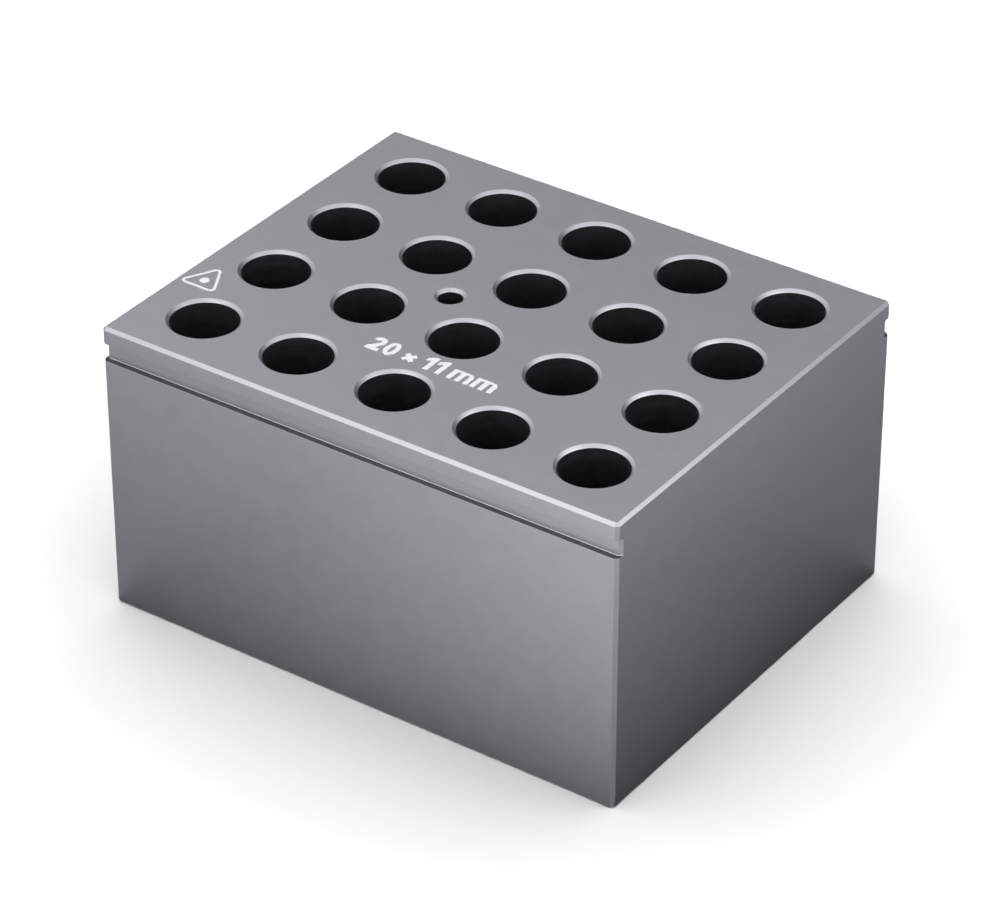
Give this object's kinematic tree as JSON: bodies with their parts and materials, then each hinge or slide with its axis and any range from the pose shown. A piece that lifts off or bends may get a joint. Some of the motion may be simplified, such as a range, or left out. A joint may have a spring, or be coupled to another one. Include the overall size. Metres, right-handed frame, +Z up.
{
  "type": "dry block heater heating block",
  "caption": "Interchangeable aluminium heating block for a dry block heater, a rectangular insert with a grid of tapered wells for microtubes, a sensor bore and lifting grooves.",
  "frame": {"origin": "centre of the block's base face", "axes": "+X along the long side, to the viewer's right when the printed text reads upright; +Y towards the back; +Z up, out of the wells"},
  "size_m": [0.095, 0.076, 0.0514],
  "materials": {
    "satin_aluminium": "bead-blasted and anodised, satin",
    "white_print": "matt printed ink film"
  },
  "bodies": {
    "root": {"heating_block": "satin_aluminium", "print_digit_2": "white_print", "print_digit_0": "white_print", "print_times": "white_print", "print_digit_1_left": "white_print", "print_digit_1_right": "white_print", "print_m_left": "white_print", "print_m_right": "white_print", "print_corner_triangle": "white_print", "print_corner_dot": "white_print"}
  },
  "joints": []
}
